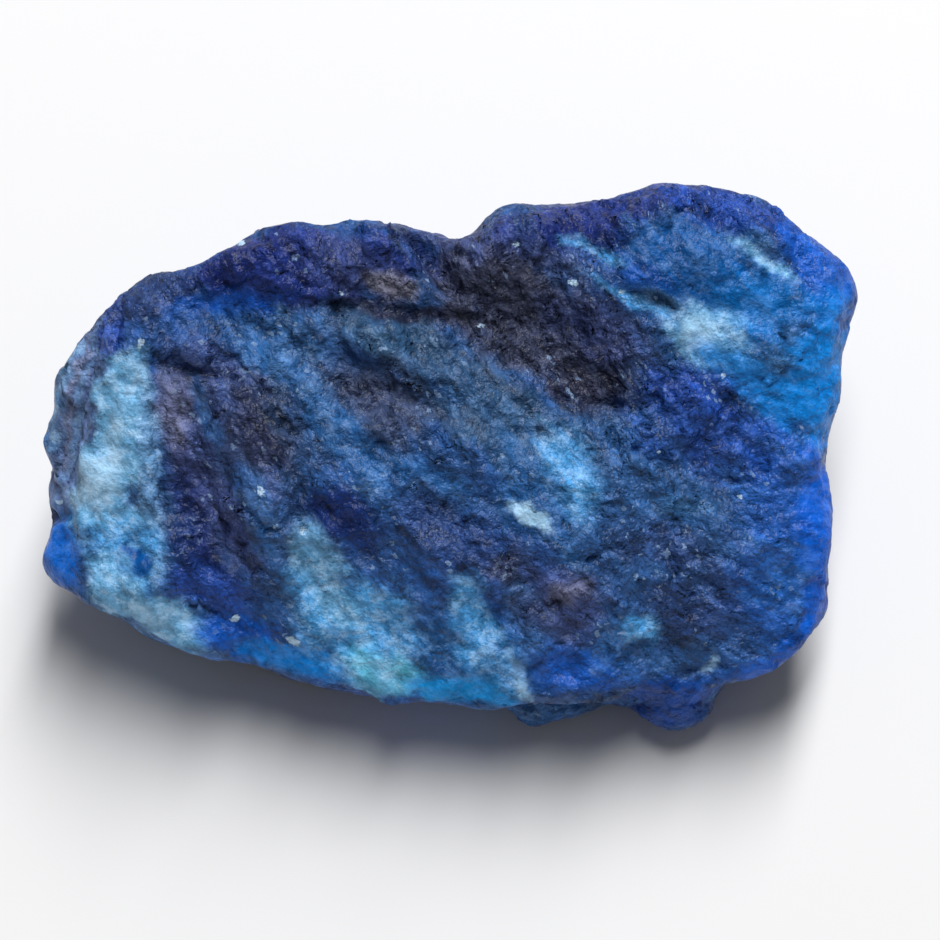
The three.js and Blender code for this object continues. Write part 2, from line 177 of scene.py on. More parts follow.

# zones of the broad face, laid one over the next: u, v, half length, half width, turn in
# degrees, softness of the edge, strength, colour; most are the stone's own clouds, and the marked
# ones are painted shade and light
zones = {
    # left end
    "endStripes": (-13.5, 2.2, 4.05, 0.86, 75, 0.25, 1.0, "greyViolet"),
    "endEdge": (-13.9, 2.9, 2.41, 0.24, 73, 0.4, 0.8, "haze"),
    "endStripeDark": (-13.1, 2.8, 3.3, 0.14, 76, 0.5, 0.45, "plum"),
    "endStripeBrown": (-13.65, 2.2, 2.7, 0.11, 76, 0.5, 0.5, "taupe"),
    "endStripePale": (-13.4, 2.1, 2.9, 0.1, 76, 0.5, 0.4, "haze"),
    "endStripeDim": (-14.1, 1.6, 2.2, 0.12, 78, 0.5, 0.4, "dusk"),
    "endShade": (-13.0, 1.0, 2.06, 0.27, 80, 0.4, 0.8, "dusk"),
    "blueCorner": (-12.2, 5.2, 1.1, 0.48, 84, 0.3, 0.8, "heather"),
    "paleEndTop": (-11.4, 3.4, 1.1, 0.82, 80, 0.35, 0.7, "ice"),
    "paleEnd": (-12.0, 1.4, 2.47, 1.13, 84, 0.25, 0.95, "ice"),
    "paleEndCore": (-12.7, -0.3, 1.17, 0.76, 65, 0.4, 0.85, "frost"),
    "paleEndBlue": (-12.2, 1.2, 1.24, 0.41, 80, 0.5, 0.6, "frost"),
    "paleEndSide": (-11.0, 0.5, 2.47, 0.34, 91, 0.3, 0.75, "haze"),
    "paleEndFoot": (-12.3, -1.5, 1.17, 0.52, 0, 0.5, 0.95, "ice"),
    "toe": (-14.1, -3.0, 1.51, 0.82, 82, 0.35, 0.95, "teal"),
    "toeBright": (-13.8, -3.1, 0.76, 0.48, 80, 0.6, 0.5, "teal"),
    "toeGroove": (-13.6, -1.5, 0.48, 0.41, 60, 0.4, 0.7, "sky"),
    "underEnd": (-11.7, -2.6, 1.44, 1.03, -20, 0.5, 0.75, "sky"),
    "tealSpot": (-11.3, -3.0, 0.65, 0.55, 0, 0.3, 1.0, "deepTeal"),
    "paleBandTop": (-12.1, -3.8, 1.1, 0.76, -50, 0.4, 0.85, "ice"),
    "paleBand": (-10.5, -5.0, 1.72, 0.65, -24, 0.35, 0.9, "ice"),
    "paleBandCore": (-11.0, -4.9, 0.76, 0.31, -30, 0.5, 0.5, "frost"),
    # left of the middle
    "leftDark": (-8.6, 1.0, 3.95, 1.92, 100, 0.35, 0.85, "plum"),
    "leftBrown": (-10.0, 2.2, 1.44, 0.62, 95, 0.5, 0.45, "taupe"),
    "leftNavy": (-9.6, -1.7, 1.72, 0.89, 100, 0.5, 0.8, "ink"),
    "leftMauve": (-8.2, -1.7, 2.06, 0.76, 115, 0.5, 0.8, "plum"),
    "leftLow": (-8.8, -4.0, 1.37, 0.76, -10, 0.5, 0.8, "heather"),
    "leftStreak": (-8.9, 2.0, 1.72, 0.27, -66, 0.5, 0.6, "denim"),
    "blueStreak": (-7.3, -1.2, 1.89, 0.41, -76, 0.5, 0.6, "denim"),
    "leftDarkInner": (-6.9, 1.5, 1.51, 1.24, 100, 0.5, 0.7, "soot"),
    "royalLow": (-7.9, -5.4, 1.51, 0.82, -8, 0.4, 0.85, "royal"),
    "tealEdge": (-6.4, -6.3, 1.51, 0.48, -16, 0.5, 0.85, "azure"),
    "tealPatch": (-5.2, -6.7, 0.96, 0.45, -20, 0.4, 0.85, "azure"),
    # rear left
    "rearLeftSlope": (-10.3, 6.3, 2.47, 0.76, 22, 0.4, 0.85, "dusk"),
    "rearLeftLump": (-5.6, 7.1, 3.85, 1.51, 3, 0.3, 0.92, "indigo"),
    "rearLeftInk": (-7.6, 7.1, 1.58, 0.58, 12, 0.5, 0.6, "ink"),
    "rearLeftMauve": (-4.1, 6.9, 1.58, 0.96, -20, 0.5, 0.7, "plum"),
    "rearLeftTan": (-2.7, 6.3, 0.76, 0.48, -10, 0.5, 1.0, "taupe"),
    "rearLeftRim": (-4.6, 8.4, 1.44, 0.38, 0, 0.5, 0.4, "denim"),
    "rearLeftRimEnd": (-6.8, 8.0, 1.03, 0.41, 18, 0.5, 0.6, "indigo"),
    "rearLeftFoot": (-8.1, 5.8, 1.92, 0.38, 8, 0.5, 0.75, "royal"),
    # painted shade: dark ink in the crevice between the rear lumps
    "crevice": (-1.3, 7.1, 1.24, 0.31, -52, 0.4, 0.7, "ink"),
    "rearMiddle": (0.9, 7.3, 2.13, 1.1, 4, 0.4, 0.85, "plum"),
    "rearMiddleTop": (-1.0, 8.0, 1.58, 0.34, 2, 0.5, 0.7, "plum"),
    # painted shadow: the dark line below the rear-left lump, where the lump shades the face
    "shadeUnderLump": (-2.2, 5.3, 3.16, 0.31, -5, 0.5, 0.9, "soot"),
    "upperSlope": (-6.5, 4.9, 3.16, 0.69, -5, 0.5, 0.7, "slate"),
    "upperTeal": (-2.7, 4.6, 2.13, 0.55, -10, 0.5, 0.75, "steel"),
    # middle
    "bandHigh": (-0.5, 3.4, 4.12, 0.72, -22, 0.5, 0.8, "steel"),
    "bandWide": (1.5, 1.3, 3.78, 0.89, -18, 0.5, 0.75, "steel"),
    "bandLeft": (-4.3, 1.5, 2.61, 0.62, -54, 0.5, 0.8, "denim"),
    "bandFoot": (-3.2, -0.8, 0.82, 0.62, -20, 0.5, 0.7, "denim"),
    "bandLow": (-1.4, -0.3, 2.06, 0.62, -32, 0.5, 0.85, "denim"),
    "brownPatch": (-2.9, 2.3, 1.79, 1.03, -32, 0.5, 0.75, "umber"),
    "scoop": (2.1, 5.0, 3.99, 1.79, -32, 0.35, 0.92, "umber"),
    "scoopDeep": (4.2, 3.0, 1.51, 1.03, -20, 0.5, 0.8, "soot"),
    "scoopTop": (1.0, 6.4, 1.79, 0.55, -5, 0.5, 0.4, "umber"),
    "scoopPlum": (4.6, 4.7, 1.92, 0.89, -30, 0.5, 0.8, "plum"),
    "centreInk": (-4.6, -1.5, 1.51, 1.03, -25, 0.5, 0.85, "ink"),
    "centreDusk": (-0.7, -2.0, 2.13, 1.24, -30, 0.5, 0.75, "dusk"),
    "cloudBlue": (2.6, -0.7, 2.06, 1.37, -50, 0.5, 0.7, "denim"),
    "cloud": (3.3, 0.1, 1.44, 0.82, -62, 0.5, 0.75, "sky"),
    "cloudThreads": (3.5, -0.3, 1.17, 0.34, -50, 0.5, 0.4, "sky"),
    "spotHalo": (2.1, -1.4, 1.1, 0.62, -35, 0.5, 0.7, "denim"),
    "spot": (2.1, -1.55, 0.65, 0.32, -34, 0.35, 1.0, "frost"),
    "spotStreak": (3.8, -3.4, 1.92, 0.27, -52, 0.5, 0.8, "denim"),
    "slateRight": (5.8, 0.7, 2.13, 1.31, -10, 0.5, 0.6, "slate"),
    "paleDash": (7.2, -1.0, 0.96, 0.31, -8, 0.5, 0.6, "sky"),
    "rightDusk": (7.6, -1.9, 3.09, 2.06, -20, 0.4, 0.75, "slate"),
    "rightUmber": (6.8, -2.4, 1.99, 0.82, -8, 0.5, 0.7, "dusk"),
    "rightCoal": (7.6, -4.6, 1.65, 1.51, 0, 0.5, 0.7, "coal"),
    "rightUpper": (8.1, 1.5, 2.41, 1.44, -20, 0.5, 0.7, "heather"),
    "brownSpot": (3.1, -4.5, 1.72, 1.17, -10, 0.45, 0.85, "plum"),
    "brownSpotCore": (3.3, -4.1, 0.69, 0.38, 10, 0.5, 0.45, "taupe"),
    "greySpot": (1.3, -3.1, 0.82, 0.69, 0, 0.5, 0.7, "umber"),
    "rightViolet": (10.4, -2.6, 1.44, 4.12, 0, 0.5, 0.45, "royal"),
    # rear right
    "tealField": (8.1, 6.5, 3.16, 1.86, -16, 0.35, 0.9, "lagoon"),
    "crestLeft": (4.5, 8.9, 3.44, 0.76, 14, 0.35, 0.92, "indigo"),
    "crestShade": (4.1, 8.0, 1.51, 0.45, 0, 0.5, 0.8, "ink"),
    "crestRight": (9.1, 8.9, 2.89, 0.76, -18, 0.4, 0.88, "heather"),
    # down the right edge the vivid blue is partly painted light, the glow of light through the thin
    # edge
    "cobaltCorner": (12.0, 7.1, 2.27, 1.03, -58, 0.35, 0.85, "royal"),
    "azureCorner": (12.4, 5.4, 1.03, 0.82, -80, 0.5, 0.8, "teal"),
    "rightAzure": (11.9, 3.4, 2.13, 1.1, 88, 0.4, 0.9, "azure"),
    "cloudRear": (8.0, 4.7, 1.44, 0.86, -34, 0.4, 0.9, "ice"),
    "cloudRearCore": (7.7, 4.9, 0.76, 0.45, -32, 0.5, 0.9, "frost"),
    "cloudRearTail": (9.6, 3.2, 2.13, 0.69, -40, 0.5, 0.8, "azure"),
    "cloudRearArm": (6.4, 7.8, 1.03, 0.45, 26, 0.5, 0.7, "lagoon"),
    "tealMist": (9.8, 5.7, 1.58, 0.96, -20, 0.5, 0.45, "azure"),
    "whiteArc": (10.0, 7.2, 1.24, 0.17, -30, 0.4, 0.75, "ice"),
    # partly painted highlight: a pale line where light catches a thin crest
    "paleLineHigh": (4.2, 7.5, 1.1, 0.21, -24, 0.4, 0.6, "sky"),
    "paleLineLow": (5.4, 5.9, 1.65, 0.17, -28, 0.4, 0.65, "sky"),
    "hook": (5.8, 6.7, 1.03, 0.38, -14, 0.5, 0.7, "navy"),
    "hookDark": (6.4, 5.8, 0.82, 0.31, -20, 0.5, 0.95, "steel"),
    "rearShade": (7.6, 2.9, 1.51, 0.69, -20, 0.5, 0.7, "heather"),
    # right rim: its vivid blues are partly the stone's own and partly painted light, the glow of
    # light shining through the thin rim
    "rimCyan": (12.1, 2.2, 1.58, 0.52, 88, 0.4, 0.9, "azure"),
    "rimCobalt": (11.8, -1.4, 2.27, 0.82, 90, 0.4, 0.92, "cobalt"),
    "rimCobaltLow": (11.8, -4.3, 1.65, 0.48, 78, 0.4, 0.95, "cobalt"),
    "rimEdge": (12.3, -3.6, 1.51, 0.21, 88, 0.4, 0.7, "violet"),
    "rimLow": (10.9, -5.9, 1.44, 0.45, 36, 0.4, 0.85, "royal"),
    "rimLowPale": (9.7, -6.5, 1.03, 0.41, 22, 0.5, 0.7, "cobalt"),
    # front
    "frontCloud": (-4.0, -5.2, 2.54, 1.58, -32, 0.35, 0.9, "sky"),
    "frontCloudArm": (-5.1, -3.2, 1.58, 0.69, -62, 0.5, 0.7, "ice"),
    "frontCloudCore": (-4.3, -4.7, 1.03, 0.69, -20, 0.5, 0.7, "ice"),
    "frontCloudFoot": (-2.8, -6.8, 1.58, 0.55, -20, 0.45, 0.85, "sea"),
    "frontCloudWhite": (-3.0, -6.7, 0.82, 0.41, -45, 0.5, 0.7, "ice"),
    # partly painted light: the thin front edge glows cyan with light shining through it
    "frontCyan": (-0.3, -7.4, 2.27, 0.45, -3, 0.4, 0.9, "cyan"),
    "frontBlue": (0.0, -5.8, 2.06, 1.17, -10, 0.5, 0.95, "denim"),
    "frontPale": (0.1, -5.0, 1.44, 0.69, -72, 0.5, 0.9, "sky"),
    "frontPaleRight": (1.0, -6.6, 1.17, 0.55, -30, 0.5, 0.45, "sky"),
    "frontStreak": (1.8, -7.0, 0.82, 0.17, -66, 0.4, 0.6, "frost"),
    "frontRoyal": (3.8, -6.7, 1.79, 0.69, 0, 0.5, 0.75, "royal"),
    "frontSlate": (5.2, -5.8, 1.1, 0.96, 0, 0.5, 0.6, "denim"),
    "frontDot": (5.8, -5.4, 0.55, 0.45, 0, 0.5, 0.85, "sky"),
    "frontShade": (7.3, -6.2, 1.44, 0.52, 5, 0.5, 0.7, "slate"),
    "frontSpeck": (8.1, -6.7, 0.27, 0.21, 60, 0.5, 0.45, "frost"),
    "foot": (6.6, -8.0, 1.65, 0.82, 8, 0.4, 0.9, "navy"),
    "footBlue": (7.6, -7.6, 1.03, 0.34, 30, 0.5, 0.6, "royal"),
    "lip": (2.1, -8.3, 2.2, 0.38, -3, 0.35, 0.8, "denim"),
    "lipEdge": (4.2, -7.9, 1.65, 0.14, 4, 0.4, 0.7, "denim"),
    # painted shadow: black in the slit under the lip, which lies in shade
    "slit": (4.0, -8.6, 1.44, 0.17, 15, 0.3, 1.0, "black"),
}

# colours of the other sides: size of the patches, shift of the pattern, and where one fades in
wildPattern = (
    ("indigo", 6.0, 71.3, -0.2, 0.3),
    ("dusk", 5.0, 17.7, -0.1, 0.3),
    ("denim", 5.5, 39.1, 0.0, 0.45),
    ("umber", 4.5, 91.9, 0.1, 0.45),
    ("heather", 5.0, 63.7, 0.1, 0.45),
    ("royal", 5.0, 33.1, 0.22, 0.6),
    ("teal", 5.0, 28.9, 0.22, 0.6),
    ("sky", 4.5, 57.3, 0.26, 0.6),
    ("ice", 3.5, 44.1, 0.42, 0.7),
)

painting = {
    "ground": "slate",
    "brightest": 0.95,  # no colour sends back more light than this
    # how far the zones' outlines wander: size and reach of a pattern, and its two shifts
    "wander": ((1.6, 0.35, (11.3, 47.9)), (0.5, 0.2, (5.1, 83.7))),
    # how their edges fray: size and reach of a pattern, its shift, and its stretch in the grain
    "fray": ((0.9, 0.9, 21.7, (0.45, 1.5, 1)), (0.4, 0.4, 3.3, (0.5, 1.4, 1))),
    "leastEdge": 0.5,  # an edge is as wide as its softness times the sum of this and itself
    "mostFray": 0.4,  # thin streaks fray less than this, and so stay whole
    "wildStretch": (0.7, 1.3, 1),
    "wildFray": 0.25,  # how far the fray's pattern moves the edges of the wild one
    "wildHidden": 0.8,  # how much of the wild pattern is lost on the broad face
    "frontTurn": (-0.12, 0.05),  # how far a surface faces out where the broad face begins
    # painted shade along the rim of the face: its colour, strength, depths and turn
    "rim": "plum",
    "rimShadeStrength": 0.65,
    "rimShadeDepths": (-2.6, -1.0),  # depths under the face between which the rim's painted shade begins
    "rimShadeTurn": 0.2,
    "fleckDepth": 4.0,  # how far out of the face or into it a fleck may lie
    "fleckFarthest": 4.0,  # the most that the distance from a fleck is taken to be
}

skin = {
    "node": "hauyne_stone",
    "name": "rough_hauyne",
    "slot": "hauyne",
    "body": "root",
    "mergeWithin": 0.001,
    "subdivisions": 1,
    "voxel": 0.134,
    "smoothing": 2,
    "baseFlat": 0.06,  # what is lower than this lies on the table
    "baseEdge": (0.1, 1.2),  # heights between which the roughness of the sides begins
    "ridges": (2.2, 0.12, 7.7),  # size, height and shift of the long bumps
    "ridgeShape": (0.9, 2.1, 4, 1.0, 1.6),  # fading, step and number of octaves, offset, gain
    "ridgePatches": (2.7, 0.7, 0.6, 15.1),  # size, middle, swing and shift of their strength
    "chipShape": (0.75, 1.25, 1),
    "chips": ((1.7, 0.3), (0.9, 0.32), (0.5, 0.26)),  # size and slope of the broken facets
    "chipShift": 19.3,
    "chipSeed": 7,  # the tilts of the facets are drawn from it
    "chipSpread": 5.3,  # how unlike the tilts of two neighbours are
    "chipLeast": 0.25,  # what is left of the chips where the stone is least grainy
    "chipWander": (0.6, 0.3, (3.1, 27.7, 61.3)),  # size and reach of a pattern, and its shifts
    "rimWorn": (0.1, 0.5),  # how far a surface faces out where the worn rim begins and ends
    "rimLeast": 0.2,  # what is left of the chips on the worn rim of the face
    "cutWander": ((0.7, 0.2, (9.1, 55.5)),),
    "deepest": -0.6,  # the roughness stays between these heights
    "highest": 0.4,
}

# fine cuts in the broad face: u, v, half length, half width, turn in degrees, depth
cuts = {
    "crevice": (-1.3, 7.1, 1.3, 0.28, -52, 0.55),
    "shadeUnderLump": (-2.2, 5.4, 3.0, 0.28, -5, 0.3),
    "leftCrack": (-9.1, 3.4, 1.3, 0.13, -8, 0.3),
    "leftCrackEnd": (-8.0, 3.2, 0.5, 0.1, -40, 0.2),
    "endCorner": (-10.6, 1.3, 2.9, 0.2, 92, 0.25),
    "endStripeOne": (-13.1, 2.8, 3.2, 0.16, 76, 0.2),
    "endStripeTwo": (-13.65, 2.2, 2.8, 0.14, 76, 0.14),
    "cornerCut": (-12.0, 5.2, 1.1, 0.14, 80, 0.25),
    "toeNick": (-14.2, -1.5, 0.7, 0.22, 15, 0.35),
    "slit": (4.0, -8.6, 1.5, 0.2, 15, 0.8),
    "footCrease": (7.6, -6.8, 0.8, 0.12, 5, 0.3),
    "scoopFoot": (4.3, 2.3, 1.2, 0.2, -8, 0.25),
    "frontPit": (-7.9, -2.4, 0.3, 0.2, -30, 0.25),
    "brownPit": (2.9, -4.4, 0.25, 0.15, 10, 0.3),
    "rearHook": (6.2, 5.8, 1.0, 0.2, -20, 0.25),
}


def noiseField(points, size, shift=0.0, stretch=(1, 1, 1)):
    scale = np.array(stretch) / size
    return np.array([noise.noise(Vector(p)) for p in points * scale + shift])


def smoothStep(low, high, value):
    share = np.clip((value - low) / (high - low), 0, 1)
    return share * share * (3 - 2 * share)


def toLinear(screen):
    value = np.array(screen) / 255
    linear = np.where(value <= 0.04045, value / 12.92, ((value + 0.055) / 1.055) ** 2.4)
    return linear * min(1, painting["brightest"] / linear.max())


def faceFrame(points):
    away = points - np.array(faceMiddle)
    return np.stack([away @ np.array(axis) for axis in (faceAcross, faceUp, faceOut)], axis=1)


def grainFrame(points):
    # each place's distance along the grain, across it and out of the face
    u, v, w = faceFrame(points).T
    middle, change = grainSlope
    turn = np.arctan(middle + change * u)
    along = u * np.cos(turn) + v * np.sin(turn)
    across = (v - middle * u - change * u * u / 2) * np.cos(turn)
    return np.stack([along, across, w], axis=1)


def wanderedFrame(points, patterns):
    # the face's own places, moved a little, so that what is laid on the face wanders
    u, v, w = faceFrame(points).T
    for size, reach, (shiftU, shiftV) in patterns:
        u = u + reach * noiseField(points, size, shiftU)
        v = v + reach * noiseField(points, size, shiftV)
    return u, v, w


def ellipseFrame(u, v, ellipse):
    # each place's distance along an ellipse and across it: 1 is on its edge
    middleU, middleV, halfLength, halfWidth, turn = ellipse
    cos, sin = math.cos(math.radians(turn)), math.sin(math.radians(turn))
    along = ((u - middleU) * cos + (v - middleV) * sin) / halfLength
    across = ((v - middleV) * cos - (u - middleU) * sin) / halfWidth
    return along, across


def frontShare(normals):
    # 1 on what can be seen of the broad face, 0 on the back and the underside
    return smoothStep(*painting["frontTurn"], normals @ np.array(faceOut))


def readMesh(mesh):
    points = np.zeros(len(mesh.vertices) * 3)
    mesh.vertices.foreach_get("co", points)
    normals = np.zeros(len(mesh.vertices) * 3)
    mesh.vertices.foreach_get("normal", normals)
    return points.reshape(-1, 3) / mm, normals.reshape(-1, 3)


def finerCopy():
    stone = bpy.data.objects.new(skin["name"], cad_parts[skin["node"]].data.copy())
    bpy.context.scene.collection.objects.link(stone)
    shape = bmesh.new()
    shape.from_mesh(stone.data)
    bmesh.ops.remove_doubles(shape, verts=shape.verts, dist=skin["mergeWithin"] * mm)
    shape.to_mesh(stone.data)
    shape.free()
    rounding = stone.modifiers.new("rounding", "SUBSURF")
    rounding.levels = rounding.render_levels = skin["subdivisions"]
    remesh = stone.modifiers.new("even mesh", "REMESH")
    remesh.mode = "VOXEL"
    remesh.voxel_size = skin["voxel"] * mm
    remesh.use_smooth_shade = True
    bpy.context.view_layer.update()
    made = bpy.data.meshes.new_from_object(
        stone.evaluated_get(bpy.context.evaluated_depsgraph_get())
    )
    stone.modifiers.clear()
    stone.data = made
    made.name = skin["name"]
    made.materials.clear()
    shape = bmesh.new()
    shape.from_mesh(made)
    for _ in range(skin["smoothing"]):
        bmesh.ops.smooth_vert(
            shape, verts=shape.verts, factor=0.5, use_axis_x=True, use_axis_y=True, use_axis_z=True
        )
    shape.to_mesh(made)
    shape.free()
    print("finer copy of the stone:", len(made.polygons), "faces")
    return stone


def paintStone(points, normals):
    u, v, w = wanderedFrame(points, painting["wander"])
    flow = grainFrame(points)
    fray = sum(
        reach * noiseField(flow, size, shift, stretch)
        for size, reach, shift, stretch in painting["fray"]
    )
    layers = {
        name: np.array([*toLinear(screen), grain, milk])
        for name, (screen, grain, milk) in palette.items()
    }
    paint = np.tile(layers[painting["ground"]], (len(points), 1))

    def cover(share, name):
        paint[:] = paint * (1 - share[:, None]) + layers[name] * share[:, None]

    onFace = frontShare(normals)
    # a wild pattern all over the stone, which fades where the zones cover the broad face
    seen = 1 - painting["wildHidden"] * onFace
    for name, size, shift, low, high in wildPattern:
        patches = noiseField(flow, size, shift, painting["wildStretch"])
        cover(smoothStep(low, high, patches + painting["wildFray"] * fray) * seen, name)
    for *ellipse, softness, strength, name in zones.values():
        halfWidth = ellipse[3]
        reach = np.hypot(*ellipseFrame(u, v, ellipse)) + min(painting["mostFray"], halfWidth) * fray
        edge = softness * (painting["leastEdge"] + softness)
        cover(strength * onFace * (1 - smoothStep(1 - edge, 1 + edge, reach)), name)
    # painted shade: the stone is painted darker right at its rim, where the broad face ends and the
    # surface turns edge-on
    facing = normals @ np.array(faceOut)
    shadeAtRim = smoothStep(*painting["rimShadeDepths"], w) * np.exp(-((facing / painting["rimShadeTurn"]) ** 2))
    cover(painting["rimShadeStrength"] * shadeAtRim, painting["rim"])
    print("painted", len(zones), "zones")
    return paint[:, :3], paint[:, 3], paint[:, 4]


# pale flecks on the broad face: u, v, half length, half width, turn in degrees
flecks = (
    (-7.08, -0.72, 0.4, 0.26, -40),
    (-6.6, -1.89, 0.18, 0.16, 0),
    (-5.67, -2.06, 0.25, 0.2, 30),
    (-4.05, -0.07, 0.16, 0.1, 0),
    (-5.33, -0.93, 0.16, 0.12, 60),
    (-7.8, 7.73, 0.18, 0.13, 0),
    (-4.36, 6.01, 0.17, 0.13, 20),
    (3.5, 6.36, 0.22, 0.16, -30),
    (5.15, 6.05, 0.18, 0.13, 0),
    (1.55, 7.66, 0.27, 0.13, -20),
    (0.34, 4.91, 0.22, 0.09, 0),
    (-6.01, -5.84, 0.36, 0.16, -30),
    (-8.01, -5.05, 0.22, 0.13, 20),
    (-14.09, -1.1, 0.18, 0.09, 0),
    (-11.2, 4.3, 0.26, 0.17, 70),
    (8.6, 3.2, 0.16, 0.1, 40),
    (-2.6, 0.9, 0.16, 0.09, -50),
    (6.4, 0.6, 0.13, 0.09, 0),
    (1, -0.5, 0.16, 0.1, 10),
    (9.2, -0.9, 0.16, 0.1, -60),
)


def fleckField(points):
    # each place's distance from the nearest fleck: 1 is on the fleck's edge
    u, v, w = faceFrame(points).T
    nearest = np.full(len(points), painting["fleckFarthest"])
    for ellipse in flecks:
        along, across = ellipseFrame(u, v, ellipse)
        outward = w / painting["fleckDepth"]
        nearest = np.minimum(nearest, np.sqrt(along**2 + across**2 + outward**2))
    return nearest


def ridgeField(points, size, shift):
    return np.array([
        noise.ridged_multi_fractal(Vector(p), *skin["ridgeShape"]) for p in points / size + shift
    ])


def chipField(points, size):
    # flat facets, each one tilted its own way, that meet in low edges
    lift = np.zeros(len(points))
    for i, p in enumerate(points / size + skin["chipShift"]):
        place = Vector(p)
        middle = noise.voronoi(place)[1][0]
        lift[i] = (place - middle).dot(noise.noise_vector(middle * skin["chipSpread"]))
    return lift * size


def ridgeLift(points):
    size, middle, swing, shift = skin["ridgePatches"]
    strength = middle + swing * noiseField(points, size, shift)
    size, height, shift = skin["ridges"]
    ridges = ridgeField(points, size, shift)
    return -height * (ridges - ridges.mean()) * strength


def chipLift(points, normals, grain):
    noise.seed_set(skin["chipSeed"])
    patternSize, reach, shifts = skin["chipWander"]
    wander = np.stack([noiseField(points, patternSize, shift) for shift in shifts], axis=1)
    flow = grainFrame(points) * skin["chipShape"]
    # the chips are shallow round the rim of the face, which is worn smooth
    facing = np.abs(normals @ np.array(faceOut))
    strength = skin["rimLeast"] + (1 - skin["rimLeast"]) * smoothStep(*skin["rimWorn"], facing)
    strength = strength * (skin["chipLeast"] + (1 - skin["chipLeast"]) * grain)
    return strength * sum(
        slope * chipField(flow + reach * size * wander, size) for size, slope in skin["chips"]
    )


def cutLift(points, normals):
    u, v, _ = wanderedFrame(points, skin["cutWander"])
    lift = np.zeros(len(points))
    for *ellipse, depth in cuts.values():
        along, across = ellipseFrame(u, v, ellipse)
        lift -= depth * np.exp(-(along**4) - across**2)
    return lift * frontShare(normals)


def roughen(points, normals, grain):
    lift = ridgeLift(points) + chipLift(points, normals, grain) + cutLift(points, normals)
    # the flat base and its edge stay as they are
    lift *= smoothStep(*skin["baseEdge"], points[:, 2])
    lift = np.clip(lift, skin["deepest"], skin["highest"])
    print("roughened, with", len(cuts), "cuts")
    return points + normals * lift[:, None]


def settleInBox(points):
    low, high = np.array(cadLow) / mm, np.array(cadHigh) / mm
    onBase = points[:, 2] < skin["baseFlat"]
    for axis in range(3):
        least, most = points[:, axis].min(), points[:, axis].max()
        points[:, axis] = (
            low[axis] + (points[:, axis] - least) * (high[axis] - low[axis]) / (most - least)
        )
    points[onBase, 2] = low[2]
    return points


def addNode(tree, kind, inputs=None, **settings):
    made = tree.nodes.new(kind)
    for name, value in settings.items():
        setattr(made, name, value)
    for name, value in (inputs or {}).items():
        if isinstance(value, bpy.types.NodeSocket):
            tree.links.new(value, made.inputs[name])
        else:
            made.inputs[name].default_value = value
    return made


# the stone's grains: how many there are to a millimetre, and how far their edges wander
grainSizes = {
    "large": (1.5, 0.6),
    "small": (3.1, 0.3),
    "glint": (7.0, 0.15),
}

# the cloudy patterns: the places that they are laid on, scale, detail and roughness
patterns = {
    "mottle": ("level", 1.8, 3.0, 0.6),
    "dust": ("level", 7.0, 1.0, 0.6),
    "wisps": ("level", 1.7, 5.0, 0.72),
    "streaks": ("streaked", 1.3, 4.0, 0.65),
    "cluster": ("level", 0.7, 2.0, 0.6),
}

finish = {
    "specular": 0.24,
    "roughness": (0.32, 0.52),
    "patternRange": (0.3, 0.7),  # values between which the mottle, wisps and streaks vary
    "grained": (0.8, 1.2, 1.0),  # scale of the grains' places along the flow, across it and out
    "streaked": (0.4, 2.0, 1.0),
    "shadeSwing": 0.3,  # how far the grains lighten and darken the colour
    "swings": {"wisps": 0.8, "streaks": 0.9},
    "swingShare": (0.25, 0.6),  # how much of this shows where the stone is least and most grainy
    "gapShadeColour": (0.006, 0.008, 0.02, 1),
    "gapWidth": 0.1,
    "gapPlaces": (0.4, 0.6),  # values of the mottle between which the gaps fade out
    "gapShare": 0.7,
    "cloudColour": (0.5, 0.74, 0.98, 1),
    "cloudPlaces": (0.48, 0.6),  # values of the wisps between which the clouds come in
    "cloudShare": 0.6,
    "glintColour": (0.26, 0.4, 0.64, 1),
    "glintPicked": (0.93, 0.94),  # a grain glints when its shade is over this
    "glintClusters": (0.55, 0.62),
    "glintGrain": (0.4, 0.7),
    "glintShare": 0.6,
    "fleckColour": (0.5, 0.7, 0.9, 1),
    "fleckWear": 0.9,  # how far the dust eats into a fleck's edge
    "fleckEdge": (1.3, 1.5),
    "fleckShare": 0.9,
    "tiltGrain": (0.3, 1.0),  # how grainy the stone is where the grains' tilts begin and end
    "tiltShare": 0.7,
    "mottleShare": (0.2, 1.0),
    "relief": {"large": 1.0, "small": 0.75, "mottle": 0.3, "dust": 0.03},  # depths
}


def newGroup(name, inputs, outputs):
    tree = bpy.data.node_groups.new(name, "ShaderNodeTree")
    for label, kind in inputs.items():
        tree.interface.new_socket(label, in_out="INPUT", socket_type=kind)
    for label, kind in outputs.items():
        tree.interface.new_socket(label, in_out="OUTPUT", socket_type=kind)
    return tree, tree.nodes.new("NodeGroupInput"), tree.nodes.new("NodeGroupOutput")


def numberMath(tree, operation, *values):
    made = addNode(tree, "ShaderNodeMath", dict(enumerate(values)), operation=operation)
    return made.outputs["Value"]


def vectorMath(tree, operation, first, second):
    other = "Scale" if operation == "SCALE" else 1
    made = addNode(tree, "ShaderNodeVectorMath", {0: first, other: second}, operation=operation)
    return made.outputs["Value" if operation == "DOT_PRODUCT" else "Vector"]


def spread(tree, value, fromRange, toRange):
    made = addNode(
        tree, "ShaderNodeMapRange",
        {"Value": value, "From Min": fromRange[0], "From Max": fromRange[1],
         "To Min": toRange[0], "To Max": toRange[1]}, clamp=True,
    )
    return made.outputs["Result"]


def blend(tree, share, under, over):
    made = addNode(tree, "ShaderNodeMix", {0: share, 6: under, 7: over}, data_type="RGBA")
    return made.outputs[2]


